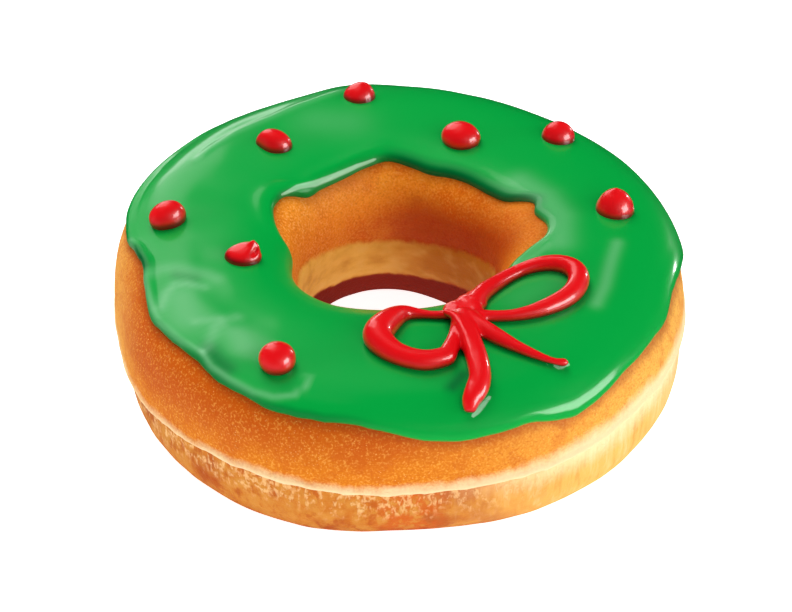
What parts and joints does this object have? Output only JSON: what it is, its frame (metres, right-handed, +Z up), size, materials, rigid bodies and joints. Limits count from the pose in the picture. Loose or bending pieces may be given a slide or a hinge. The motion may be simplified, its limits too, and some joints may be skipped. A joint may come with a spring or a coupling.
{
  "type": "iced ring doughnut",
  "caption": "Raised ring doughnut with a coat of icing over its top, a piped icing bow and piped round dots.",
  "frame": {"origin": "on the surface that the doughnut rests on, at the middle of the ring, under its hole", "axes": "+Z up through the hole, away from the surface that it rests on. -Y towards the side with the bow, +X to the right as seen from that side"},
  "size_m": [0.0956, 0.0939, 0.0353],
  "materials": {
    "dough": "fried crust, satin, with a pale line round its girth",
    "green_icing": "set sugar icing, glossy",
    "red_icing": "piped sugar icing, glossy"
  },
  "bodies": {
    "root": {"dough_ring": "dough", "icing": "green_icing", "bow": "red_icing", "dot_1": "red_icing", "dot_2": "red_icing", "dot_3": "red_icing", "dot_4": "red_icing", "dot_5": "red_icing", "dot_6": "red_icing", "dot_7": "red_icing", "dot_8": "red_icing"}
  },
  "joints": []
}
